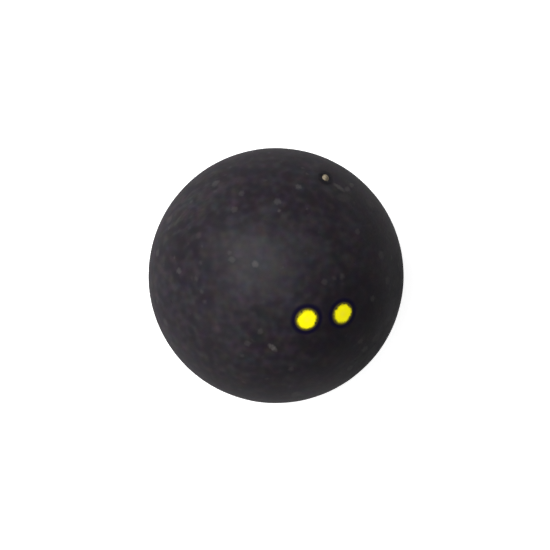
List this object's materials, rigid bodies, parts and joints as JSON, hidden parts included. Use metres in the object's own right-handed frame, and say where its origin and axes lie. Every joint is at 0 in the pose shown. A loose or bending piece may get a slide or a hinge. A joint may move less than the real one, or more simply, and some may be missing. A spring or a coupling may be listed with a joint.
{
  "type": "squash ball",
  "caption": "Hollow squash ball: moulded rubber half shells cemented rim to rim, a matt charcoal skin and small printed yellow dots.",
  "frame": {"origin": "the ball's centre, in the plane of the cemented joint", "axes": "+Z through the top of the upper half shell, square to the cemented joint; the dots lie on the upper half, towards +X and -Y"},
  "size_m": [0.04, 0.04, 0.04],
  "materials": {
    "rubber": "matte",
    "cement": "matte",
    "ink": "satin"
  },
  "bodies": {
    "root": {"upper_half_shell": "rubber", "lower_half_shell": "rubber", "bond_ring": "cement", "left_dot": "ink", "right_dot": "ink"}
  },
  "joints": []
}
